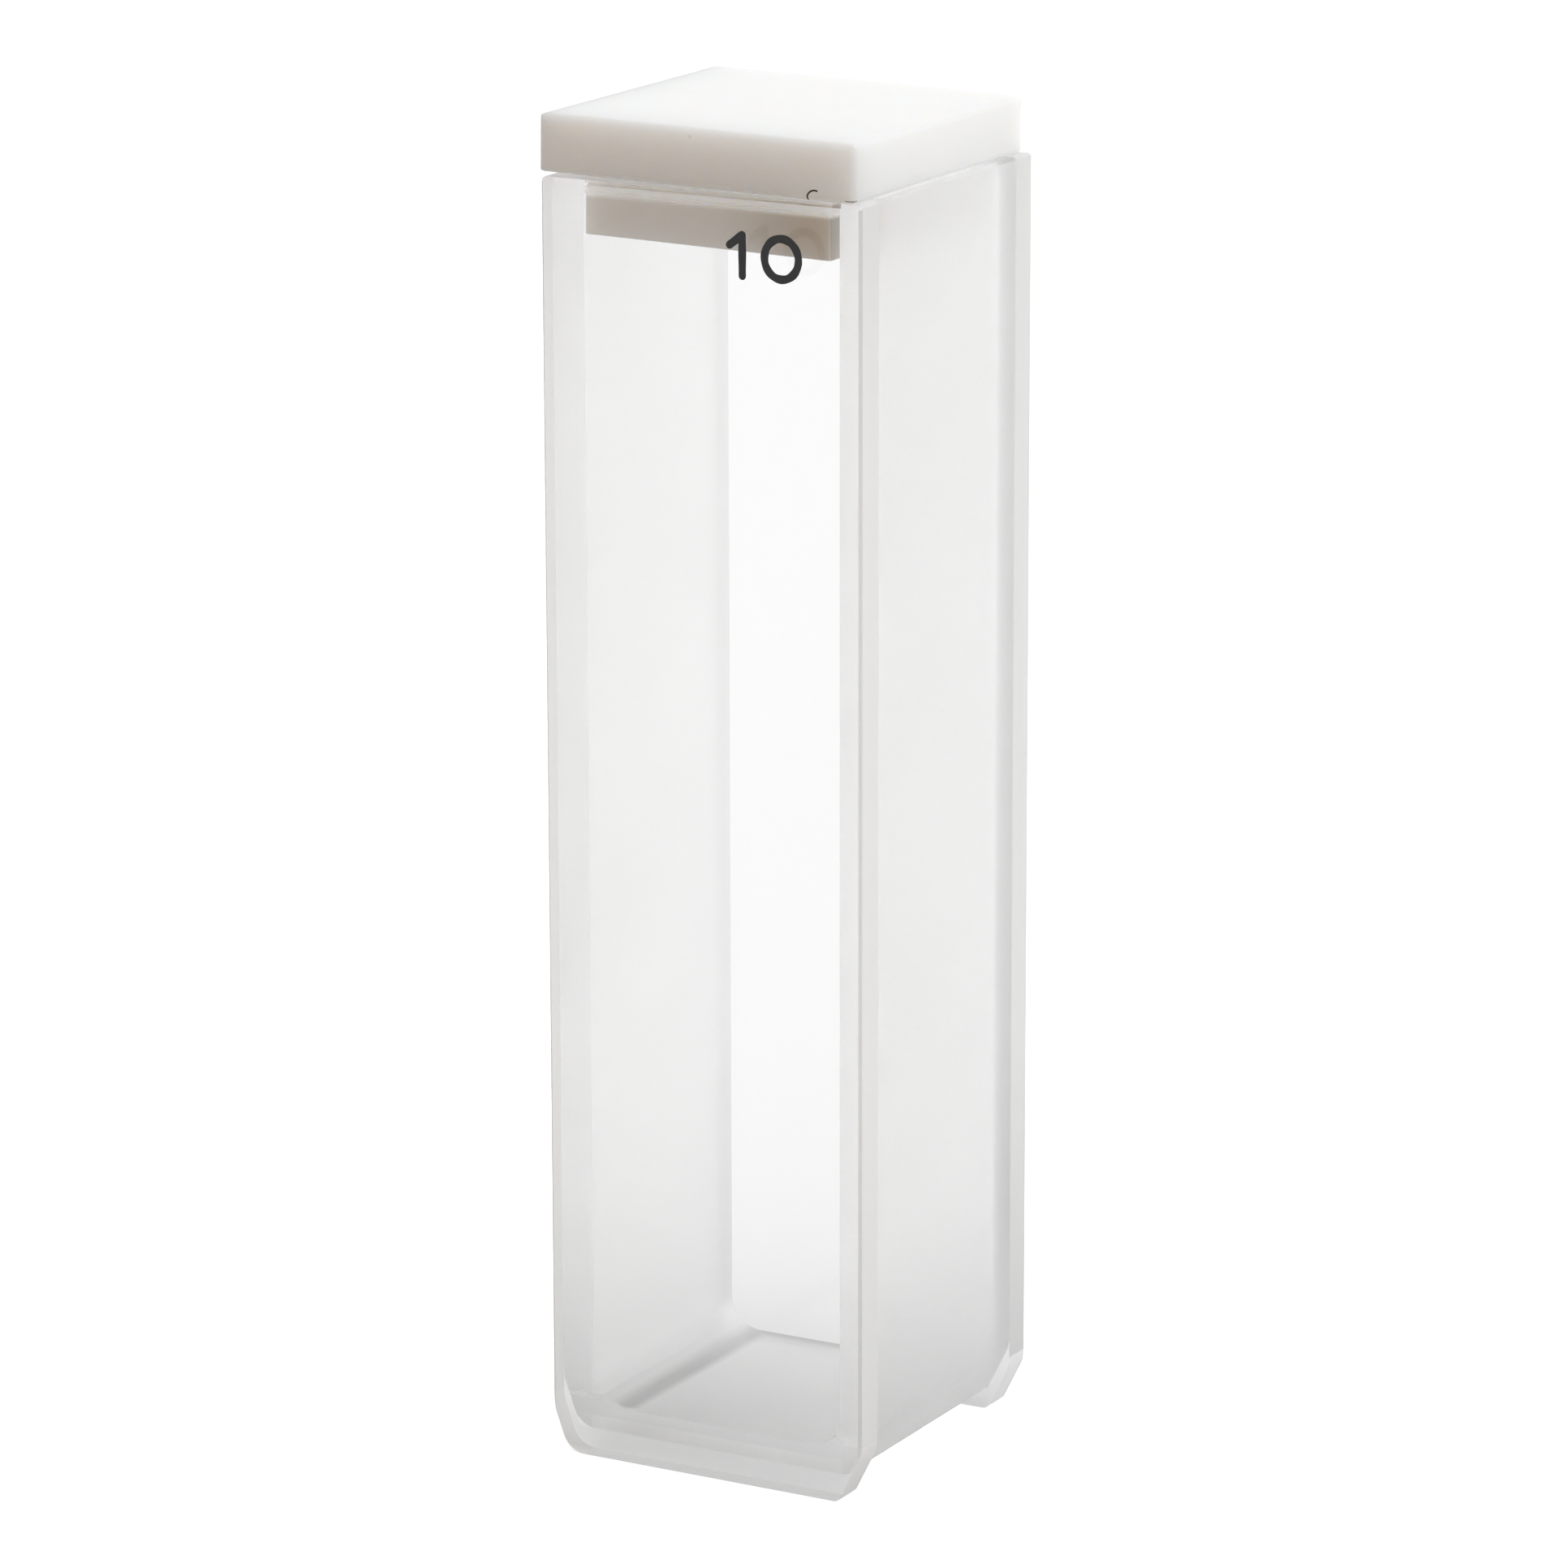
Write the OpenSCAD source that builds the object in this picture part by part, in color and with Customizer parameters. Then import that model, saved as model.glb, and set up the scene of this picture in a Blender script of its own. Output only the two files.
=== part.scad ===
// Spectrophotometer cell of fused quartz with a loose lid.
// Two polished windows are fused to the front and rear of a finely ground, U-shaped body.
// X runs across the ground sides, Y runs along the light path through the windows, Z is up.
// The origin is the middle of the footprint, on the surface that the cell stands on.

/* [Cell] */
// Outside width, across the two ground sides
cell_w = 12.5; // [10:0.1:16]
// Outside depth, across the two polished windows
cell_d = 12.5; // [10:0.1:16]
// Height of the cell without its lid
cell_h = 46; // [30:0.5:60]
// Thickness of each polished window
window_t = 1.25; // [1:0.05:1.6]
// Thickness of each ground side wall
side_t = 1.25; // [1:0.05:1.6]
// Thickness of the floor
floor_t = 0.9; // [0.8:0.05:2]
// How far the windows reach below the floor, where they serve as feet
foot_h = 0.75; // [0.3:0.05:1]

/* [Edges] */
// Height by which the two lower corners are ground away, along each side
corner_rise = 1.8; // [1.2:0.05:2.5]
// Width by which the left lower corner is ground away, along the bottom
left_run = 0.65; // [0.4:0.05:1.5]
// Radius that blends the left ground corner into the bottom
left_blend = 0.9; // [0.1:0.05:1]
// Width by which the right lower corner is ground away, along the bottom
right_run = 0.9; // [0.4:0.05:1.5]
// Radius that blends the right ground corner into the bottom
right_blend = 0.3; // [0.1:0.05:1]
// Radius that blends both ground corners into the sides
side_blend = 1.5; // [0.5:0.1:2]
// Inside radius between the floor and each side wall
inner_r = 1.2; // [0.6:0.05:2]
// Small bevel along the upright edges of the windows and along both sides of the top rim
arris = 0.1; // [0.05:0.05:0.3]
// Ground bevel along the outer top edge of each window
rim_bevel = 0.15; // [0.05:0.05:0.6]

/* [Lid] */
// How far the flange stays inside the cell's outline on each side
flange_inset = 0.1; // [0:0.05:0.4]
// Thickness of the flange
flange_t = 2.05; // [1.5:0.05:4]
// Radius of the flange's outer edges
flange_r = 0.25; // [0.1:0.05:0.5]
// Height of the plug below the flange
plug_h = 2.15; // [1:0.05:4]
// Gap between the plug and the cavity walls on each side, with the lid centred
plug_clear = 0.2; // [0.15:0.05:0.4]
// Radius of the plug's upright corners
plug_r = 0.1; // [0.05:0.05:0.6]
// Angle by which the loose lid lies tilted, its left side up, in degrees
lid_tilt = 0.8; // [0:0.1:2]
// Share of the plug's play by which the lid lies to the left and to the front
lid_play = 0.85; // [0:0.05:0.95]

/* [Hidden] */
$fn = 64;

// Inside of the cell
cavity_w = cell_w - 2 * side_t;
cavity_d = cell_d - 2 * window_t;
floor_z = foot_h + floor_t;

// Lid
flange_w = cell_w - 2 * flange_inset;
flange_d = cell_d - 2 * flange_inset;
plug_w = cavity_w - 2 * plug_clear;
plug_d = cavity_d - 2 * plug_clear;

// The tilt brings the plug's lower edge to the left, by no more than its play
lid_angle = min(lid_tilt, asin(0.9 * plug_clear / (plug_h + flange_r)));
lean = (plug_h + flange_r) * sin(lid_angle);

// Length by which a cutting or bounding shape passes the surface that it trims
past = 1;

// Points of a ground lower corner on the +X side, from the bottom up: where the bottom, the slope
// and the side meet the two blends.
function corner_points(run, blend) =
    let (
        slope = atan(corner_rise / run),
        low = blend * tan(slope / 2),
        high = side_blend * tan(45 - slope / 2)
    )
    [
        [cell_w / 2 - run - low, 0],
        [cell_w / 2 - run + low * cos(slope), low * sin(slope)],
        [cell_w / 2 - high * cos(slope), corner_rise - high * sin(slope)],
        [cell_w / 2, corner_rise + high]
    ];

// Outside outline of the cell from z = 0 to h, centred on X, with its two lower corners ground away.
module ground_outline(h) {
    left = corner_points(left_run, left_blend);
    right = corner_points(right_run, right_blend);
    polygon(concat(
        right,
        [[cell_w / 2, h], [-cell_w / 2, h]],
        [for (i = [3:-1:0]) [-left[i][0], left[i][1]]]
    ));
    translate([-left[0][0], left_blend]) circle(left_blend);
    translate([right[0][0], right_blend]) circle(right_blend);
    translate([side_blend - cell_w / 2, left[3][1]]) circle(side_blend);
    translate([cell_w / 2 - side_blend, right[3][1]]) circle(side_blend);
}

// Rectangle from (0, 0) to (w, h), centred on X, with a radius on its two lower corners.
module round_footed(w, h, r) {
    translate([-w / 2, r]) square([w, h - r]);
    translate([r - w / 2, 0]) square([w - 2 * r, h]);
    for (side = [-1, 1])
        translate([side * (w / 2 - r), r]) circle(r);
}

// Rectangle centred on both axes, with a radius on its four corners.
module round_cornered(w, h, r) {
    square([w - 2 * r, h], center = true);
    square([w, h - 2 * r], center = true);
    for (sx = [-1, 1], sy = [-1, 1])
        translate([sx * (w / 2 - r), sy * (h / 2 - r)]) circle(r);
}

// A flat outline drawn in X and Z, stood up and given a thickness from y0 to y1.
module upright(y0, y1) {
    translate([0, y1, 0]) rotate([90, 0, 0]) linear_extrude(y1 - y0) children();
}

// Wedges that cut the rim's side edges, drawn in X and Z.
module rim_cut() {
    reach = cell_w / 2;
    for (side = [-1, 1])
        polygon([
            [side * (reach - arris), cell_h],
            [side * (reach + past), cell_h - arris - past],
            [side * (reach + past), cell_h + past],
            [side * (reach - arris), cell_h + past]
        ]);
}

// Window at the rear. Outside face at +Y, ground edges all round, feet below the floor.
module window() {
    inner_y = cavity_d / 2;
    outer_y = cell_d / 2;
    intersection() {
        difference() {
            upright(inner_y, outer_y) ground_outline(cell_h);
            upright(inner_y - past, outer_y + past) rim_cut();
        }
        linear_extrude(cell_h)
            polygon([
                [-cell_w / 2, inner_y],
                [cell_w / 2, inner_y],
                [cell_w / 2, outer_y - arris],
                [cell_w / 2 - arris, outer_y],
                [arris - cell_w / 2, outer_y],
                [-cell_w / 2, outer_y - arris]
            ]);
        rotate([90, 0, 90])
            translate([0, 0, -cell_w / 2 - past])
                linear_extrude(cell_w + 2 * past)
                    polygon([
                        [inner_y, 0],
                        [outer_y, 0],
                        [outer_y, cell_h - rim_bevel],
                        [outer_y - rim_bevel, cell_h],
                        [inner_y, cell_h]
                    ]);
    }
}

module rear_window() {
    color([0.86, 0.9, 0.92, 0.35]) window();
}

module front_window() {
    color([0.86, 0.9, 0.92, 0.35]) mirror([0, 1, 0]) window();
}

// Two side walls and the floor, ground on every face.
module u_body() {
    color([0.9, 0.9, 0.89, 0.8])
        upright(-cavity_d / 2, cavity_d / 2)
            difference() {
                translate([0, foot_h]) ground_outline(cell_h - foot_h);
                translate([0, floor_z]) round_footed(cavity_w, cell_h - floor_z + past, inner_r);
                rim_cut();
            }
}

// Block with all twelve edges rounded, centred on X and Y, standing on z = 0.
module soft_block(w, d, h, r) {
    intersection() {
        linear_extrude(h) round_cornered(w, d, r);
        upright(-d / 2, d / 2) translate([0, h / 2]) round_cornered(w, h, r);
        rotate([90, 0, 90])
            translate([0, 0, -w / 2])
                linear_extrude(w) translate([0, h / 2]) round_cornered(d, h, r);
    }
}

// Flange whose right edge rests on the rim, and the plug that hangs into the cavity.
// The tilt turns the lid about the middle of that edge's rounding, so the edge stays on the rim.
module lid() {
    edge_x = flange_w / 2 - flange_r;
    color([0.95, 0.94, 0.92])
        translate([edge_x - lid_play * (plug_clear - lean), -lid_play * plug_clear, cell_h + flange_r])
            rotate([0, lid_angle, 0])
                translate([-edge_x, 0, -flange_r]) {
                    soft_block(flange_w, flange_d, flange_t, flange_r);
                    translate([0, 0, -plug_h])
                        linear_extrude(plug_h + flange_t / 2) round_cornered(plug_w, plug_d, plug_r);
                }
}

front_window();
rear_window();
u_body();
lid();
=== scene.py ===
"""Looks for a fused quartz spectrophotometer cell with a loose PTFE lid.

Everything is in metres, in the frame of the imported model: X runs across the ground sides, Y along the
light path from the front window to the rear window, and Z is up.
"""

import math

import bmesh
import bpy
from mathutils import Matrix, Vector


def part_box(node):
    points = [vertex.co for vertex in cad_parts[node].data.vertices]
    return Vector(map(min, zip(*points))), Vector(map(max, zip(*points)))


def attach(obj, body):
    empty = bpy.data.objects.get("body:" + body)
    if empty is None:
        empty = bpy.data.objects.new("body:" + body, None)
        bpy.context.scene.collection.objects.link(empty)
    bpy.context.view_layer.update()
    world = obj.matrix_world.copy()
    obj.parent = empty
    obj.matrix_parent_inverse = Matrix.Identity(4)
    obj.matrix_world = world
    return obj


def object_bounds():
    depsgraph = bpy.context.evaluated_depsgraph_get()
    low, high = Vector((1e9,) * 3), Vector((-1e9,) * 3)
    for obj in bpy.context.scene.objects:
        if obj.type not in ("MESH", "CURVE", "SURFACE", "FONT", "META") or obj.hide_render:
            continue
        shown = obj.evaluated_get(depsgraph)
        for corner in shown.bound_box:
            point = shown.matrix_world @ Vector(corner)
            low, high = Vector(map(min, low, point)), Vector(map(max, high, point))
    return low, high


MM = 0.001

# Sizes of the cell that its nodes' boxes don't give, as in the part's source
SIDE_WALL = 1.25 * MM
FLOOR_THICKNESS = 0.9 * MM
INNER_CORNER = 1.2 * MM
LEFT_RUN = 0.65 * MM
RIGHT_RUN = 0.9 * MM
CORNER_RISE = 1.8 * MM
RIM_BEVEL = 0.15 * MM

# Depth of the fine relief on every surface
FINE_RELIEF = 0.004 * MM

# Polished quartz: how much light it keeps, straight through and for rays that are bent
QUARTZ_IOR = 1.458
UNBENT_GREY = 0.97
BENT_GREY = 0.995

# Ground quartz: the size of its grain and of its faint clouds, its grey level without shade and under its
# darkest painted shade, the share of the light that passes a face as through rough glass, the share of the
# rest that a face throws back, and the share that an edge lets through
GRAIN_SIZE = 0.09 * MM
CLOUD_SIZE = 4.0 * MM
UNSHADED_GREY = 0.998
SHADE_GREY = 0.6
GLASSY_SHARE = 0.92
GLASSY_ROUGHNESS = 0.6
FACE_BACK_SHARE = 0.4
EDGE_PASSED_SHARE = 0.5

# Painted shade on the ground body in places, from 0 for none to 1 for the darkest painted shade grey
FLOOR_FRONT_SHADE = 0.22
FLOOR_REAR_SHADE = 0.03
REAR_EDGE_SHADE = 0.45
LEFT_CORNER_SHADE = 0.85
LOW_SHADE = 0.2

# How hazy the windows' inner sides are along the mouth
MOUTH_HAZE = 0.8

# Lid: its white, how deep light scatters in it, its painted shade, its dirt and a dark line
PTFE_IOR = 1.36
PTFE_SHADES = ((0.97, 0.967, 0.96, 1.0), (0.98, 0.978, 0.972, 1.0))
SCATTER_DEPTH = 4.0 * MM
SCATTER_BY_COLOUR = (1.0, 0.85, 0.7)
PLUG_SHADE = (0.66, 0.59, 0.5, 1.0)
PLUG_SIDE_SHADOW = (0.3, 0.28, 0.27, 1.0)
PLUG_OPAQUE_SHARE = 0.55
RIGHT_SIDE_SHADE = (0.87, 0.865, 0.83, 1.0)
DIRT_AND_DARK_LINE = (0.02, 0.019, 0.018, 1.0)

# Number mark: sizes, places on the front window, the ink's two shades, and how uneven its strokes are
MARK_DROP = 1.22 * MM
MARK_HEIGHT = 1.68 * MM
STROKE_WIDTH = 0.29 * MM
ONE_X = 1.68 * MM
FLAG_REACH = 0.48 * MM
FLAG_DROP = 0.36 * MM
ZERO_X = 3.2 * MM
ZERO_HALF_WIDTH = 0.8 * MM
INK_THICKNESS = 0.012 * MM
INK_SHADES = ((0.008, 0.008, 0.01, 1.0), (0.02, 0.02, 0.022, 1.0))
UNEVENNESS = 0.05

# Camera, as an orbit round a point near the middle of the cell
VIEW_AZIMUTH = math.radians(29.17)
VIEW_ELEVATION = math.radians(14.43)
VIEW_ROLL = math.radians(-0.13)
VIEW_DISTANCE = 0.25655
VIEW_LENS = 166.72
VIEW_CENTRE_HEIGHT = 22.5 * MM
VIEW_SLIDE_RIGHT = -0.21 * MM
VIEW_SLIDE_UP = 1.357 * MM

# Soft light: its brightest side as a direction, and its colours on the dim and the bright side
BRIGHT_SIDE = Vector((0.35, 0.75, 0.56)).normalized()
DIM_AIR = (0.27, 0.218, 0.175, 1.0)
BRIGHT_AIR = (1.25, 1.27, 1.27, 1.0)
DIM_FLOOR = (0.23, 0.188, 0.15, 1.0)
BRIGHT_FLOOR = (0.85, 0.85, 0.85, 1.0)

# Cosines of the angle to the bright side over which the air and the floor turn from dim to bright
AIR_SPAN = (-0.4, 0.6)
FLOOR_SPAN = (-0.8, 0.8)

# Floor: its colour, the glow that makes it render white, and the painted shadow below and round the cell
FLOOR_SIZE = 6.0
FLOOR_GREY = 0.9
FLOOR_GLOW = 0.45
CONTACT_REACH = 8 * MM
CONTACT_SHADE = 0.27
WIDE_REACH = 40 * MM
WIDE_SHADE = 0.05
CONTACT_DIMMING = 0.45


# ---------------------------------------------------------------------------------------------------
# Node helpers


def new_material(name):
    """An empty node material and its tree, with the output node."""
    material = bpy.data.materials.new(name)
    material.use_nodes = True
    tree = material.node_tree
    tree.nodes.clear()
    return material, tree, tree.nodes.new("ShaderNodeOutputMaterial")


def plug_in(tree, socket, value):
    """Links an output socket to an input, or sets the input's own value."""
    if isinstance(value, bpy.types.NodeSocket):
        tree.links.new(value, socket)
    else:
        socket.default_value = value


def node(tree, kind, inputs=None, **settings):
    """A new node with its settings and inputs. Inputs go by name or number."""
    made = tree.nodes.new(kind)
    for name, value in settings.items():
        setattr(made, name, value)
    for key, value in (inputs or {}).items():
        plug_in(tree, made.inputs[key], value)
    return made


def maths(tree, operation, a, b=0.0):
    """The result of a Math node."""
    return node(tree, "ShaderNodeMath", {0: a, 1: b}, operation=operation).outputs[0]


def within(tree, value, reach):
    """1 where value is nearer to zero than reach, and 0 elsewhere."""
    return maths(tree, "LESS_THAN", maths(tree, "ABSOLUTE", value), reach)


def outside(tree, value, reach):
    """1 where value is farther from zero than reach, and 0 elsewhere."""
    return maths(tree, "GREATER_THAN", maths(tree, "ABSOLUTE", value), reach)


def excess(tree, value, limit):
    """How far value passes limit, or 0."""
    return maths(tree, "MAXIMUM", maths(tree, "SUBTRACT", value, limit), 0.0)


def length(tree, a, b):
    """The length of the flat vector (a, b)."""
    squares = maths(tree, "ADD", maths(tree, "POWER", a, 2.0), maths(tree, "POWER", b, 2.0))
    return maths(tree, "SQRT", squares)


def remap(tree, value, low, high, to_low, to_high):
    """value mapped from low..high to to_low..to_high, held at the ends."""
    inputs = {"Value": value, "From Min": low, "From Max": high, "To Min": to_low, "To Max": to_high}
    return node(tree, "ShaderNodeMapRange", inputs).outputs["Result"]


def blend(tree, factor, a, b):
    """A colour from a to b."""
    mix = node(tree, "ShaderNodeMix", data_type="RGBA")
    plug_in(tree, mix.inputs[0], factor)
    plug_in(tree, mix.inputs[6], a)
    plug_in(tree, mix.inputs[7], b)
    return mix.outputs[2]


def mix_shaders(tree, factor, a, b):
    """A shader from a to b."""
    return node(tree, "ShaderNodeMixShader", {0: factor, 1: a, 2: b}).outputs[0]


def noise(tree, coordinates, size, detail=2.0):
    """Noise with features of about size metres, as a value round 0.5."""
    inputs = {"Vector": coordinates, "Scale": 1.0 / size, "Detail": detail, "Roughness": 0.5}
    return node(tree, "ShaderNodeTexNoise", inputs).outputs["Fac"]


def fine_relief(tree, height):
    """A normal that follows height, where 1 is FINE_RELIEF."""
    inputs = {"Height": height, "Distance": FINE_RELIEF, "Strength": 1.0}
    return node(tree, "ShaderNodeBump", inputs).outputs["Normal"]


def object_coordinates(tree):
    """The piece's own coordinates, as a vector and as X, Y and Z."""
    vector = node(tree, "ShaderNodeTexCoord").outputs["Object"]
    return vector, node(tree, "ShaderNodeSeparateXYZ", {0: vector}).outputs


def grey(level):
    """An opaque neutral colour."""
    return (level, level, level, 1.0)


# ---------------------------------------------------------------------------------------------------
# Materials


def ground_outline(tree, x, z, half_width, bottom):
    """1 inside the cell's outline, whose lower corners are ground away, and 0 outside it."""
    leftward = maths(tree, "MULTIPLY", x, -1.0)
    left = maths(tree, "MULTIPLY", excess(tree, leftward, half_width - LEFT_RUN), CORNER_RISE / LEFT_RUN)
    right = maths(tree, "MULTIPLY", excess(tree, x, half_width - RIGHT_RUN), CORNER_RISE / RIGHT_RUN)
    slant = maths(tree, "ADD", left, right)
    return maths(tree, "GREATER_THAN", maths(tree, "SUBTRACT", z, slant), bottom)


def round_outline(tree, x, z, half_width, bottom, radius):
    """1 inside a tall outline with rounded lower corners, and 0 outside it."""
    across = excess(tree, maths(tree, "ABSOLUTE", x), half_width - radius)
    below = maths(tree, "MAXIMUM", maths(tree, "SUBTRACT", bottom + radius, z), 0.0)
    return maths(tree, "LESS_THAN", length(tree, across, below), radius)


def soft_band(tree, value, low, high, soft):
    """1 between low and high, fading out over the width soft beyond each end."""
    rising = remap(tree, value, low - soft, low, 0.0, 1.0)
    falling = remap(tree, value, high, high + soft, 1.0, 0.0)
    return maths(tree, "MULTIPLY", rising, falling)


def scattering(tree, colour, relief):
    """Two shaders: light scattered on through the surface, and light scattered back."""
    inputs = {"Color": colour, "Normal": relief}
    passed = node(tree, "ShaderNodeBsdfTranslucent", inputs).outputs[0]
    back = node(tree, "ShaderNodeBsdfDiffuse", inputs).outputs[0]
    return passed, back


def ground_edge(tree, vector, tone):
    """Ground quartz with clear quartz behind it, where the light is fully scattered."""
    grain = noise(tree, vector, GRAIN_SIZE, detail=3.0)
    # Painted shade: a tone below 1 darkens the grey
    colour = blend(tree, tone, grey(0.0), grey(UNSHADED_GREY))
    passed, back = scattering(tree, colour, fine_relief(tree, grain))
    return mix_shaders(tree, EDGE_PASSED_SHARE, back, passed)


def ground_surface(tree, vector, shade_amount=0.0):
    """Finely ground quartz: light scatters as it enters and as it leaves."""
    grain = noise(tree, vector, GRAIN_SIZE, detail=3.0)
    cloud = noise(tree, vector, CLOUD_SIZE)
    level = remap(tree, maths(tree, "ADD", grain, cloud), 0.6, 1.4, 0.98, 1.0)
    colour = blend(tree, level, grey(0.0), grey(UNSHADED_GREY))
    # Painted shade: darkens the grey where asked, towards the darkest shade grey
    colour = blend(tree, shade_amount, colour, grey(SHADE_GREY))
    relief = fine_relief(tree, grain)
    passed, back = scattering(tree, colour, relief)
    scattered = mix_shaders(tree, FACE_BACK_SHARE, passed, back)
    glassy = node(tree, "ShaderNodeBsdfGlass", {
        "Color": colour,
        "Roughness": GLASSY_ROUGHNESS,
        "IOR": QUARTZ_IOR,
        "Normal": relief,
    }).outputs[0]
    return mix_shaders(tree, GLASSY_SHARE, scattered, glassy)


def clear_passage(tree, level=1.0):
    """A surface that lets the share level of the light straight through."""
    return node(tree, "ShaderNodeBsdfTransparent", {"Color": grey(level)}).outputs[0]


def floor_painted_shade(tree, x, y, low, high):
    """Painted shade on the floor: at the foot of the left wall, along the rear edge and towards the front.
    """
    even_from = high.y - 2 * MM
    floor_tone = remap(tree, y, low.y, even_from, FLOOR_FRONT_SHADE, FLOOR_REAR_SHADE)

    flat_reach = high.x - SIDE_WALL - INNER_CORNER
    edge_start, edge_full = high.y - 0.6 * MM, high.y - 0.2 * MM
    edge_reach = flat_reach + 0.4 * MM
    rear_edge = remap(tree, y, edge_start, edge_full, 0.0, REAR_EDGE_SHADE)
    rear_edge = maths(tree, "MULTIPLY", rear_edge, within(tree, x, edge_reach))

    foot_left, foot_right = -flat_reach - 0.25 * MM, -flat_reach + 0.1 * MM
    front_start, front_full = low.y + 0.05 * MM, low.y + 0.35 * MM
    fading_from = high.y - 5 * MM
    corner = soft_band(tree, x, foot_left, foot_right, 0.5 * MM)
    corner = maths(tree, "MULTIPLY", corner,
                   remap(tree, y, front_start, front_full, 0.0, LEFT_CORNER_SHADE))
    corner = maths(tree, "MULTIPLY", corner, remap(tree, y, fading_from, high.y, 1.0, 0.5))
    return maths(tree, "MAXIMUM", maths(tree, "MAXIMUM", corner, rear_edge), floor_tone)


def ground_quartz():
    """The U-shaped body, ground on every face."""
    low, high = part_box("u_body")
    material, tree, output = new_material("ground_quartz")
    vector, (x, y, z) = object_coordinates(tree)

    # Inside, painted shade lies only about level with the floor's upper side
    band = 0.4 * MM
    at_floor = within(tree, maths(tree, "SUBTRACT", z, low.z + FLOOR_THICKNESS), band)
    painted_shade = maths(tree, "MULTIPLY", at_floor, floor_painted_shade(tree, x, y, low, high))

    # Painted shade: the outer sides and the faces fused to the windows are darker low down, more so on the
    # right
    joint = outside(tree, y, high.y - 0.005 * MM)
    joint_share = maths(tree, "MULTIPLY", joint, remap(tree, x, 3 * MM, 5 * MM, 0.4, 0.9))
    side = outside(tree, x, high.x - SIDE_WALL + 0.1 * MM)
    side_share = maths(tree, "MULTIPLY", side, remap(tree, x, -1 * MM, 1 * MM, 1.0, 1.4))
    outer_share = maths(tree, "MAXIMUM", side_share, joint_share)
    shade_up_to = low.z + 8 * MM
    low_down = maths(tree, "MULTIPLY", remap(tree, z, low.z, shade_up_to, LOW_SHADE, 0.0), outer_share)
    ground = ground_surface(tree, vector, maths(tree, "MAXIMUM", painted_shade, low_down))

    # From inside the body, light passes straight into the windows that are fused on
    behind = node(tree, "ShaderNodeNewGeometry").outputs["Backfacing"]
    surface = mix_shaders(tree, maths(tree, "MULTIPLY", joint, behind), ground, clear_passage(tree))
    plug_in(tree, output.inputs["Surface"], surface)
    return material


def polished_quartz(name, window):
    """A window: polished on both sides, ground round its edges, and one with the body where fused to it."""
    low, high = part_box(window)
    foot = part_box("u_body")[0].z
    half_width = high.x
    middle = (abs(low.y) + abs(high.y)) / 2
    at_rear = low.y > 0
    material, tree, output = new_material(name)
    vector, (x, y, z) = object_coordinates(tree)

    # Faces that look along Y are polished. Near the rim, the allowance lets in the bevel at 45 degrees.
    nearly_one, allowance = 0.99, 0.35
    normal = node(tree, "ShaderNodeNewGeometry").outputs["True Normal"]
    facing = maths(tree, "ABSOLUTE", node(tree, "ShaderNodeSeparateXYZ", {0: normal}).outputs[1])
    bevel_z = high.z - RIM_BEVEL - 0.01 * MM
    at_rim = maths(tree, "MULTIPLY", maths(tree, "GREATER_THAN", z, bevel_z), allowance)
    flat = maths(tree, "GREATER_THAN", maths(tree, "ADD", facing, at_rim), nearly_one)

    # The inner side is one with the body outside the cavity's outline
    inner = within(tree, y, middle)
    on_body = ground_outline(tree, x, z, half_width, foot)
    on_cavity = round_outline(tree, x, z, half_width - SIDE_WALL, foot + FLOOR_THICKNESS, INNER_CORNER)
    fused = maths(tree, "MULTIPLY", inner, maths(tree, "SUBTRACT", on_body, on_cavity))

    # The inner side is ground too on the foot and in a band along the mouth
    on_foot = maths(tree, "SUBTRACT", 1.0, on_body)
    band_start, band_full = high.z - 0.65 * MM, high.z - 0.45 * MM
    mouth = maths(tree, "MULTIPLY", remap(tree, z, band_start, band_full, 0.0, MOUTH_HAZE), on_cavity)
    hazy = maths(tree, "MULTIPLY", inner, maths(tree, "MAXIMUM", on_foot, mouth))

    # What is seen through polished quartz is bent, and the light that falls through it isn't
    clear = node(tree, "ShaderNodeBsdfGlass",
                 {"Color": grey(BENT_GREY), "Roughness": 0.0, "IOR": QUARTZ_IOR}).outputs[0]
    rays = node(tree, "ShaderNodeLightPath").outputs
    straight = maths(tree, "MAXIMUM", rays["Is Shadow Ray"], rays["Is Diffuse Ray"])
    polished = mix_shaders(tree, straight, clear, clear_passage(tree, UNBENT_GREY))
    faces = mix_shaders(tree, fused, polished, clear_passage(tree))
    faces = mix_shaders(tree, hazy, faces, ground_surface(tree, vector))

    # Painted shade: the upright edges are darker low down, the rear window's more so, but not where the
    # corners are cut
    upright = maths(tree, "GREATER_THAN", z, low.z + CORNER_RISE + 0.3 * MM)
    deepest_shade, least_shade = (0.2, 0.07) if at_rear else (0.05, 0.0)
    shade_from, shade_up_to = low.z + 2 * MM, low.z + 14 * MM
    painted_shade = remap(tree, z, shade_from, shade_up_to, deepest_shade, least_shade)
    tone = maths(tree, "SUBTRACT", 1.0, maths(tree, "MULTIPLY", upright, painted_shade))
    surface = mix_shaders(tree, flat, ground_edge(tree, vector, tone), faces)
    plug_in(tree, output.inputs["Surface"], surface)
    return material


def spot(tree, vector, centre, radius):
    """1 at a point and 0 beyond radius metres from it."""
    away = node(tree, "ShaderNodeVectorMath", {0: vector, 1: centre}, operation="DISTANCE").outputs["Value"]
    return remap(tree, away, 0.5 * radius, radius, 1.0, 0.0)


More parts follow.
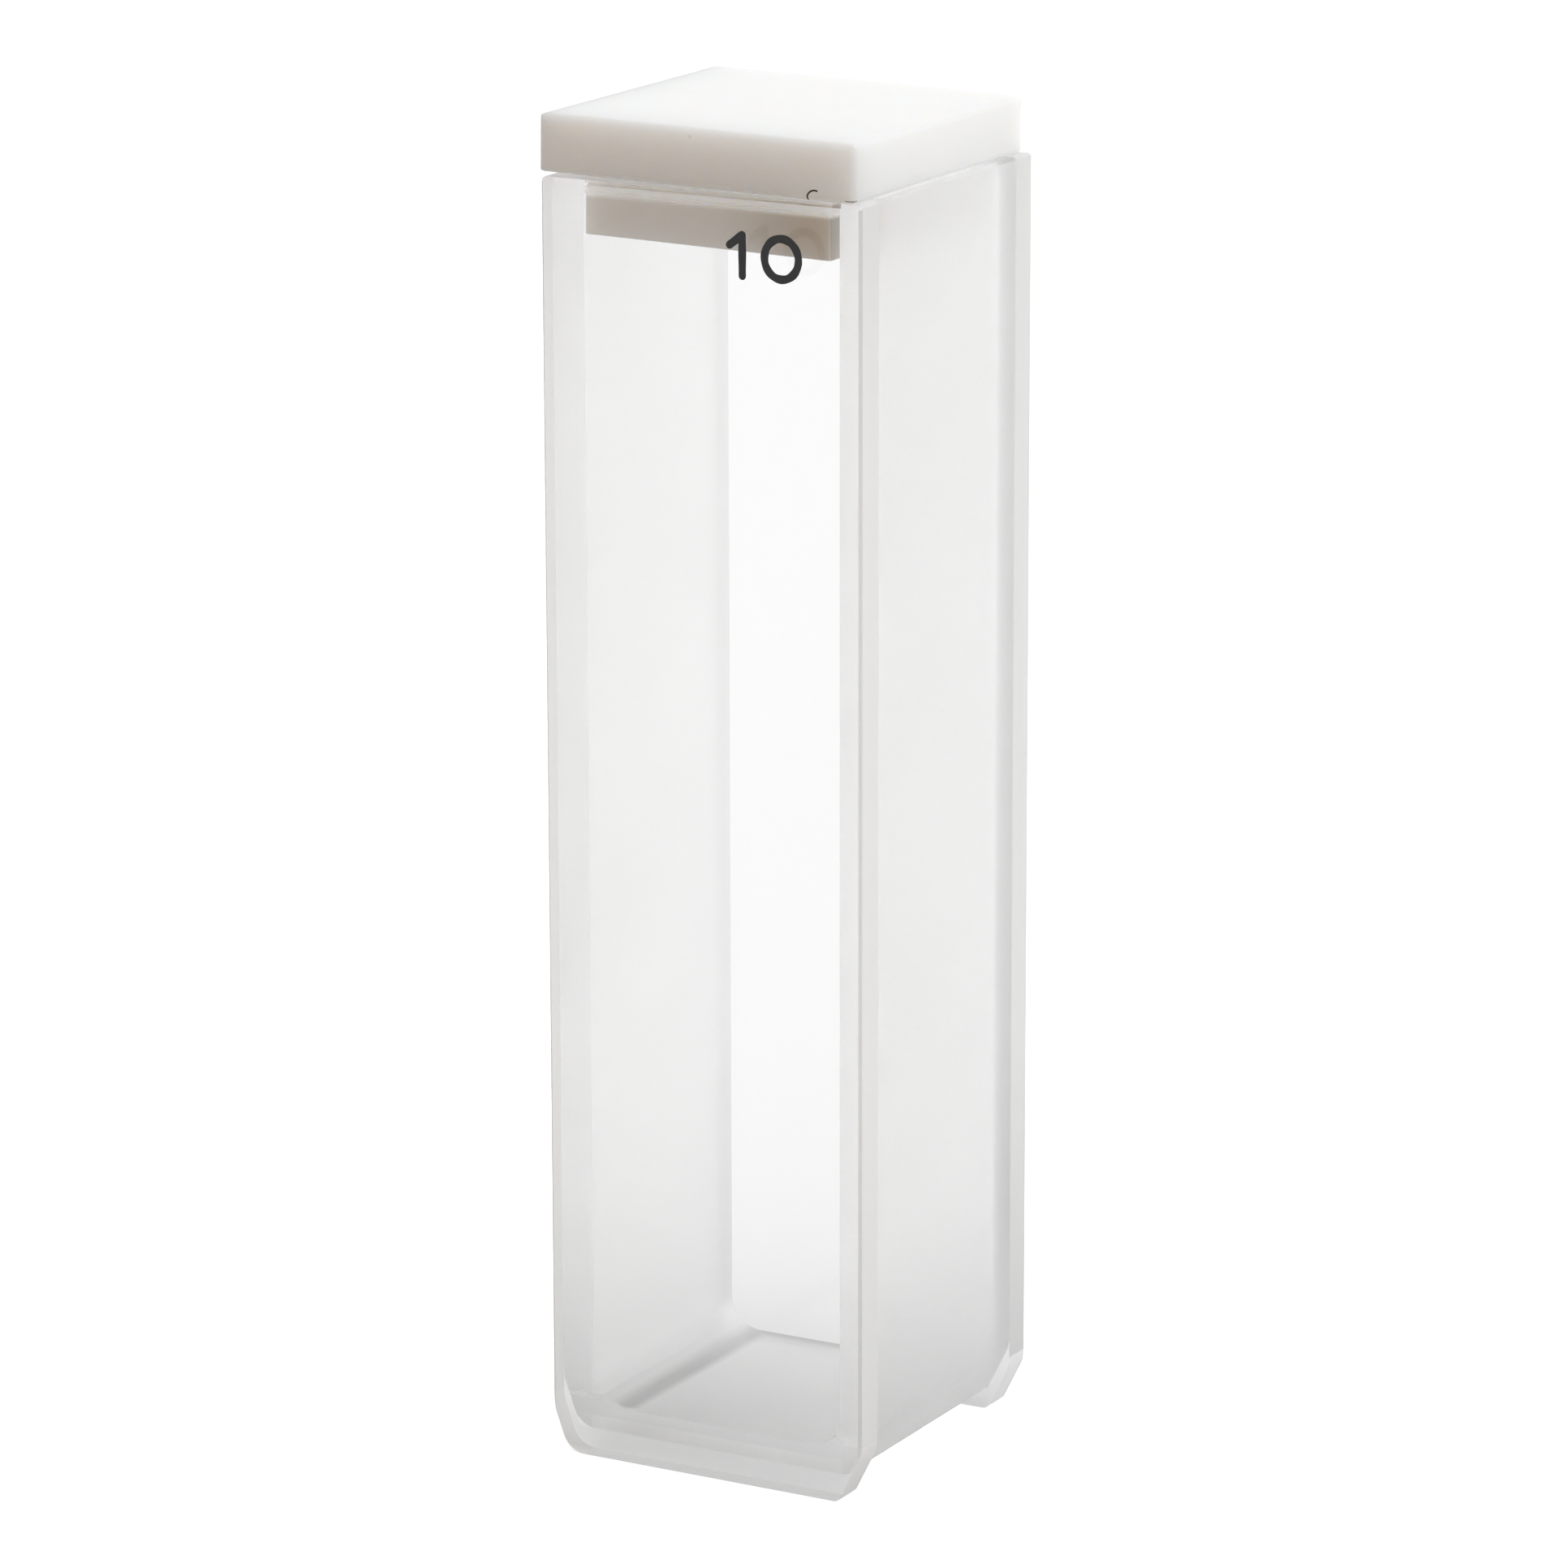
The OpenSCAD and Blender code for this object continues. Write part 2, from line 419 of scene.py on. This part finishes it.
def stray_hair(tree, x, z, centre_x, centre_z, radius, width):
    """1 along a short curved fibre: the upper left half of a small circle, seen from the front."""
    across = maths(tree, "SUBTRACT", x, centre_x)
    rise = maths(tree, "SUBTRACT", z, centre_z)
    off_line = maths(tree, "ABSOLUTE", maths(tree, "SUBTRACT", length(tree, across, rise), radius))
    line = remap(tree, off_line, 0.35 * width, 0.5 * width, 1.0, 0.0)
    up, left = 0.37, 0.93
    side = maths(tree, "SUBTRACT", maths(tree, "MULTIPLY", rise, up), maths(tree, "MULTIPLY", across, left))
    return maths(tree, "MULTIPLY", line, maths(tree, "GREATER_THAN", side, 0.0))


def lid_painted_shade(tree, colour, plug, x, y, low, high):
    """The lid's colour with painted shade on its plug, most of all to the right, painted shadow on the
    plug's right side, and painted shade on the lid's right side.
    """
    # Painted shade on the plug, which sits below the flange in the cell, darkest to the right
    front_zone, rear_zone = low.y + 2.2 * MM, low.y + 4.0 * MM
    plug_shade = remap(tree, x, 0.5 * MM, 4.2 * MM, 0.2, 1.0)
    plug_shade = maths(tree, "ADD", plug_shade, remap(tree, x, -4.8 * MM, -2.5 * MM, 0.15, 0.0))
    plug_shade = maths(tree, "MULTIPLY", plug_shade, remap(tree, y, front_zone, rear_zone, 1.0, 0.15))
    colour = blend(tree, maths(tree, "MULTIPLY", plug, plug_shade), colour, PLUG_SHADE)

    # Painted shadow on the plug's right side, near the front
    plug_side_x = high.x - 1.42 * MM
    side_front, side_rear = low.y + 1.6 * MM, low.y + 2.6 * MM
    plug_side = maths(tree, "MULTIPLY", plug, maths(tree, "GREATER_THAN", x, plug_side_x))
    plug_side = maths(tree, "MULTIPLY", plug_side, remap(tree, y, side_front, side_rear, 0.75, 0.0))
    colour = blend(tree, plug_side, colour, PLUG_SIDE_SHADOW)

    # Painted shade on the lid's right side, deeper towards the rear
    shade_start, shade_full = high.x - 0.25 * MM, high.x - 0.05 * MM
    right_side = maths(tree, "MULTIPLY", remap(tree, x, shade_start, shade_full, 0.0, 0.5),
                       remap(tree, y, low.y, high.y, 0.7, 1.0))
    return blend(tree, right_side, colour, RIGHT_SIDE_SHADE)


def lid_dirt_and_dark_line(tree, vector, x, y, z, low, high, rim_z):
    """How dark the lid's marks are: dirt, a stray hair and a faint speck, and a short dark line at the front
    right corner.
    """
    hair = stray_hair(tree, x, z, high.x - 1.52 * MM, rim_z + 0.1 * MM, radius=0.3 * MM, width=0.07 * MM)
    hair = maths(tree, "MULTIPLY", hair, maths(tree, "LESS_THAN", y, low.y + 0.15 * MM))
    # A short dark line low on the flange's front, at its right end
    line_x, line_low, line_high = high.x - 0.35 * MM, rim_z + 0.1 * MM, rim_z + 0.13 * MM
    line = maths(tree, "MULTIPLY", soft_band(tree, x, line_x, high.x, 0.08 * MM),
                 soft_band(tree, z, line_low, line_high, 0.02 * MM))
    line = maths(tree, "MULTIPLY", line, maths(tree, "LESS_THAN", y, low.y + 0.3 * MM))
    speck = spot(tree, vector, (-0.3 * MM, low.y, rim_z + 1.83 * MM), 0.1 * MM)
    dirt = maths(tree, "MAXIMUM", hair, maths(tree, "MULTIPLY", line, 0.8))
    return maths(tree, "MAXIMUM", dirt, maths(tree, "MULTIPLY", speck, 0.15))


def white_ptfe():
    """The lid: waxy, slightly translucent white, with a plug that is less translucent and darkened with
    painted shade.
    """
    low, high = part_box("lid")
    rim_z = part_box("front_window")[1].z
    material, tree, output = new_material("white_ptfe")
    vector, (x, y, z) = object_coordinates(tree)
    cloud = noise(tree, vector, 2.5 * MM, detail=4.0)
    fine = noise(tree, vector, 0.12 * MM)

    plug_full, plug_end = rim_z - 0.75 * MM, rim_z - 0.6 * MM
    plug = remap(tree, z, plug_full, plug_end, 1.0, 0.0)
    colour = blend(tree, remap(tree, cloud, 0.35, 0.65, 0.0, 1.0), *PTFE_SHADES)
    colour = lid_painted_shade(tree, colour, plug, x, y, low, high)
    colour = blend(tree, lid_dirt_and_dark_line(tree, vector, x, y, z, low, high, rim_z), colour, DIRT_AND_DARK_LINE)

    waxy = node(tree, "ShaderNodeBsdfPrincipled", {
        "Base Color": colour,
        "Roughness": remap(tree, fine, 0.3, 0.7, 0.42, 0.55),
        "IOR": PTFE_IOR,
        "Subsurface Weight": 1.0,
        "Subsurface Radius": SCATTER_BY_COLOUR,
        "Subsurface Scale": SCATTER_DEPTH,
        "Normal": fine_relief(tree, fine),
    }).outputs[0]
    opaque = node(tree, "ShaderNodeBsdfPrincipled",
                  {"Base Color": colour, "Roughness": 0.5, "IOR": PTFE_IOR}).outputs[0]
    surface = mix_shaders(tree, maths(tree, "MULTIPLY", plug, PLUG_OPAQUE_SHARE), waxy, opaque)
    plug_in(tree, output.inputs["Surface"], surface)
    return material


def black_print():
    """Fired-on ink."""
    material, tree, output = new_material("black_print")
    vector, _ = object_coordinates(tree)
    fine = noise(tree, vector, 0.06 * MM)
    surface = node(tree, "ShaderNodeBsdfPrincipled", {
        "Base Color": blend(tree, fine, *INK_SHADES),
        "Roughness": remap(tree, fine, 0.3, 0.7, 0.35, 0.6),
        "Normal": fine_relief(tree, fine),
    })
    plug_in(tree, output.inputs["Surface"], surface.outputs[0])
    return material


def give(name, material):
    """Puts one material on a CAD node."""
    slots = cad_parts[name].data.materials
    slots.clear()
    slots.append(material)


# ---------------------------------------------------------------------------------------------------
# Number mark


def rounded_stroke(mesh, path, width, closed=False):
    """Adds a flat stroke along a path of X and Z positions, with round ends unless it is closed.

    Its width varies a little along the way, as print does.
    """
    points = [Vector(point) for point in path]
    count = len(points)
    half = width / 2
    pairs = []
    for i, point in enumerate(points):
        before = points[(i - 1) % count] if closed or i > 0 else point
        after = points[(i + 1) % count] if closed or i < count - 1 else point
        along = (after - before).normalized()
        uneven = 1 + UNEVENNESS * math.sin(5.3 * i + 40 * width / MM)
        reach = Vector((-along.y, along.x)) * half * uneven
        pairs.append([mesh.verts.new((p.x, 0, p.y)) for p in (point + reach, point - reach)])
    for i in range(count if closed else count - 1):
        (a, b), (c, d) = pairs[i], pairs[(i + 1) % count]
        mesh.faces.new((a, c, d, b))
    if closed:
        return
    steps = 10
    ends = (points[0], points[1], pairs[0]), (points[-1], points[-2], pairs[-1])
    for end, inward, (left, right) in ends:
        out = (end - inward).normalized()
        side = Vector((left.co.x, left.co.z)) - end
        arc = [end + side * math.cos(t) + out * half * math.sin(t)
               for t in (math.pi * k / steps for k in range(1, steps))]
        mesh.faces.new([left] + [mesh.verts.new((p.x, 0, p.y)) for p in arc] + [right])


def number_mark():
    """The number 10, for the light path in millimetres, in a thin layer of ink on the front window."""
    window_low, window_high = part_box("front_window")
    half = STROKE_WIDTH / 2
    top = window_high.z - MARK_DROP
    bottom = top - MARK_HEIGHT
    stroke_top, stroke_bottom = top - half, bottom + half
    mesh = bmesh.new()

    stem_parts, flag_parts, ring_parts = 8, 4, 48
    stem = [(ONE_X, stroke_top + (stroke_bottom - stroke_top) * k / stem_parts)
            for k in range(stem_parts + 1)]
    rounded_stroke(mesh, stem, STROKE_WIDTH)
    flag = [(ONE_X - FLAG_REACH * (1 - k / flag_parts), stroke_top - FLAG_DROP * (1 - k / flag_parts))
            for k in range(flag_parts + 1)]
    rounded_stroke(mesh, flag, STROKE_WIDTH)

    middle_z = (top + bottom) / 2
    ring_x, ring_z = ZERO_HALF_WIDTH - half, top - middle_z - half
    ring = [(ZERO_X + ring_x * math.cos(t), middle_z + ring_z * math.sin(t))
            for t in (2 * math.pi * k / ring_parts for k in range(ring_parts))]
    rounded_stroke(mesh, ring, STROKE_WIDTH, closed=True)

    bmesh.ops.recalc_face_normals(mesh, faces=mesh.faces)
    bmesh.ops.solidify(mesh, geom=list(mesh.faces), thickness=INK_THICKNESS)
    data = bpy.data.meshes.new("number_mark")
    mesh.to_mesh(data)
    mesh.free()
    piece = bpy.data.objects.new("number_mark", data)
    piece.location = (0, window_low.y - INK_THICKNESS / 2, 0)
    bpy.context.scene.collection.objects.link(piece)
    data.materials.append(black_print())
    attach(piece, "root")


# ---------------------------------------------------------------------------------------------------
# Stage


def seen_directly(tree):
    """1 for rays that show the background: straight to the camera, mirrored, or through glass."""
    rays = node(tree, "ShaderNodeLightPath").outputs
    shown = maths(tree, "MAXIMUM", rays["Is Camera Ray"], rays["Is Glossy Ray"])
    return maths(tree, "MAXIMUM", shown, rays["Is Transmission Ray"])


def make_world():
    """Soft light that is strongest from above, behind and the right."""
    world = bpy.data.worlds.new("soft_studio")
    bpy.context.scene.world = world
    world.use_nodes = True
    tree = world.node_tree
    tree.nodes.clear()
    direction = node(tree, "ShaderNodeTexCoord").outputs["Generated"]
    along = node(tree, "ShaderNodeVectorMath", {0: direction, 1: tuple(BRIGHT_SIDE)},
                 operation="DOT_PRODUCT")
    light = blend(tree, remap(tree, along.outputs["Value"], *AIR_SPAN, 0.0, 1.0), DIM_AIR, BRIGHT_AIR)
    colour = blend(tree, seen_directly(tree), light, grey(1.0))
    background = node(tree, "ShaderNodeBackground", {"Color": colour, "Strength": 1.0})
    output = tree.nodes.new("ShaderNodeOutputWorld")
    plug_in(tree, output.inputs["Surface"], background.outputs[0])


def fade(tree, distance, reach):
    """1 at no distance, falling off smoothly over about reach metres."""
    return maths(tree, "EXPONENT", maths(tree, "MULTIPLY", distance, -1.0 / reach))


def make_floor():
    """A wide pale floor that renders white and keeps the cell's shadow.

    Through the glass it shows a painted contact shadow: a little grey below the cell and close to it.
    """
    low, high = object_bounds()
    bpy.ops.mesh.primitive_plane_add(size=FLOOR_SIZE, location=(0, 0, low.z))
    floor = bpy.context.object
    floor.name = "floor"
    material, tree, output = new_material("pale_floor")
    position = node(tree, "ShaderNodeNewGeometry").outputs["Position"]
    x, y, _ = node(tree, "ShaderNodeSeparateXYZ", {0: position}).outputs
    beyond_x = excess(tree, maths(tree, "ABSOLUTE", x), high.x)
    beyond_y = excess(tree, maths(tree, "ABSOLUTE", y), high.y)
    distance = length(tree, beyond_x, beyond_y)
    contact = fade(tree, distance, CONTACT_REACH)
    wide = fade(tree, distance, WIDE_REACH)

    # Seen directly
    lit = node(tree, "ShaderNodeBsdfDiffuse", {"Color": grey(FLOOR_GREY)}).outputs[0]
    glow = node(tree, "ShaderNodeEmission", {"Color": grey(1.0), "Strength": FLOOR_GLOW}).outputs[0]
    seen = node(tree, "ShaderNodeAddShader", {0: lit, 1: glow}).outputs[0]

    # Seen through the glass or mirrored in it, with the painted contact shadow
    shade = maths(tree, "ADD", maths(tree, "MULTIPLY", contact, CONTACT_SHADE),
                  maths(tree, "MULTIPLY", wide, WIDE_SHADE))
    through_glass = node(tree, "ShaderNodeEmission",
                         {"Strength": maths(tree, "SUBTRACT", 1.0, shade)}).outputs[0]

    # The light that it throws back at the cell, stronger from the bright side and dimmed near the cell as
    # painted shade
    flat_key = Vector((BRIGHT_SIDE.x, BRIGHT_SIDE.y, 0.0)).normalized()
    outward = node(tree, "ShaderNodeVectorMath", {0: position}, operation="NORMALIZE").outputs["Vector"]
    along = node(tree, "ShaderNodeVectorMath", {0: outward, 1: tuple(flat_key)}, operation="DOT_PRODUCT")
    brightness = remap(tree, along.outputs["Value"], *FLOOR_SPAN, 0.0, 1.0)
    level = maths(tree, "SUBTRACT", 1.0, maths(tree, "MULTIPLY", contact, CONTACT_DIMMING))
    bounced = node(tree, "ShaderNodeEmission",
                   {"Color": blend(tree, brightness, DIM_FLOOR, BRIGHT_FLOOR), "Strength": level}).outputs[0]

    rays = node(tree, "ShaderNodeLightPath").outputs
    through = maths(tree, "MAXIMUM", rays["Is Glossy Ray"], rays["Is Transmission Ray"])
    surface = mix_shaders(tree, through, bounced, through_glass)
    surface = mix_shaders(tree, rays["Is Camera Ray"], surface, seen)
    plug_in(tree, output.inputs["Surface"], surface)
    floor.data.materials.append(material)


def make_camera():
    """A camera on an orbit, slid within its own plane to place the cell in the picture."""
    sin_a, cos_a = math.sin(VIEW_AZIMUTH), math.cos(VIEW_AZIMUTH)
    sin_e, cos_e = math.sin(VIEW_ELEVATION), math.cos(VIEW_ELEVATION)
    back = Vector((sin_a * cos_e, -cos_a * cos_e, sin_e))
    right = Vector((cos_a, sin_a, 0.0))
    up = back.cross(right)
    centre = Vector((0, 0, VIEW_CENTRE_HEIGHT)) + right * VIEW_SLIDE_RIGHT + up * VIEW_SLIDE_UP
    camera = bpy.data.objects.new("camera", bpy.data.cameras.new("camera"))
    bpy.context.scene.collection.objects.link(camera)
    camera.data.lens = VIEW_LENS
    camera.data.clip_start = 0.01
    camera.data.clip_end = 20.0
    turned = Matrix((right, up, back)).transposed().to_4x4() @ Matrix.Rotation(VIEW_ROLL, 4, "Z")
    camera.matrix_world = Matrix.Translation(centre + back * VIEW_DISTANCE) @ turned
    bpy.context.scene.camera = camera


# ---------------------------------------------------------------------------------------------------
# Scene

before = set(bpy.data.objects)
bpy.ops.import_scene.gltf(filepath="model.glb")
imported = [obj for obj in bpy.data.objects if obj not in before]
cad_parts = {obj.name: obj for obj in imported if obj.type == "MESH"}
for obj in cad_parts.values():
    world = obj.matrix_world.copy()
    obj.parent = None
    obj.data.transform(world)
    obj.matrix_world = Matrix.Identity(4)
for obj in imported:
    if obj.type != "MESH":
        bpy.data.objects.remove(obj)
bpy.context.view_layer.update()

give("u_body", ground_quartz())
give("front_window", polished_quartz("front_quartz", "front_window"))
give("rear_window", polished_quartz("rear_quartz", "rear_window"))
give("lid", white_ptfe())
number_mark()

make_world()
make_floor()
make_camera()
bpy.context.scene.view_settings.view_transform = "Standard"

# Light passes many faces of the cell before it leaves, so the limits on bounces are high
cycles = bpy.context.scene.cycles
cycles.max_bounces = 18
cycles.diffuse_bounces = 8
cycles.glossy_bounces = 8
cycles.transmission_bounces = 14
cycles.transparent_max_bounces = 18
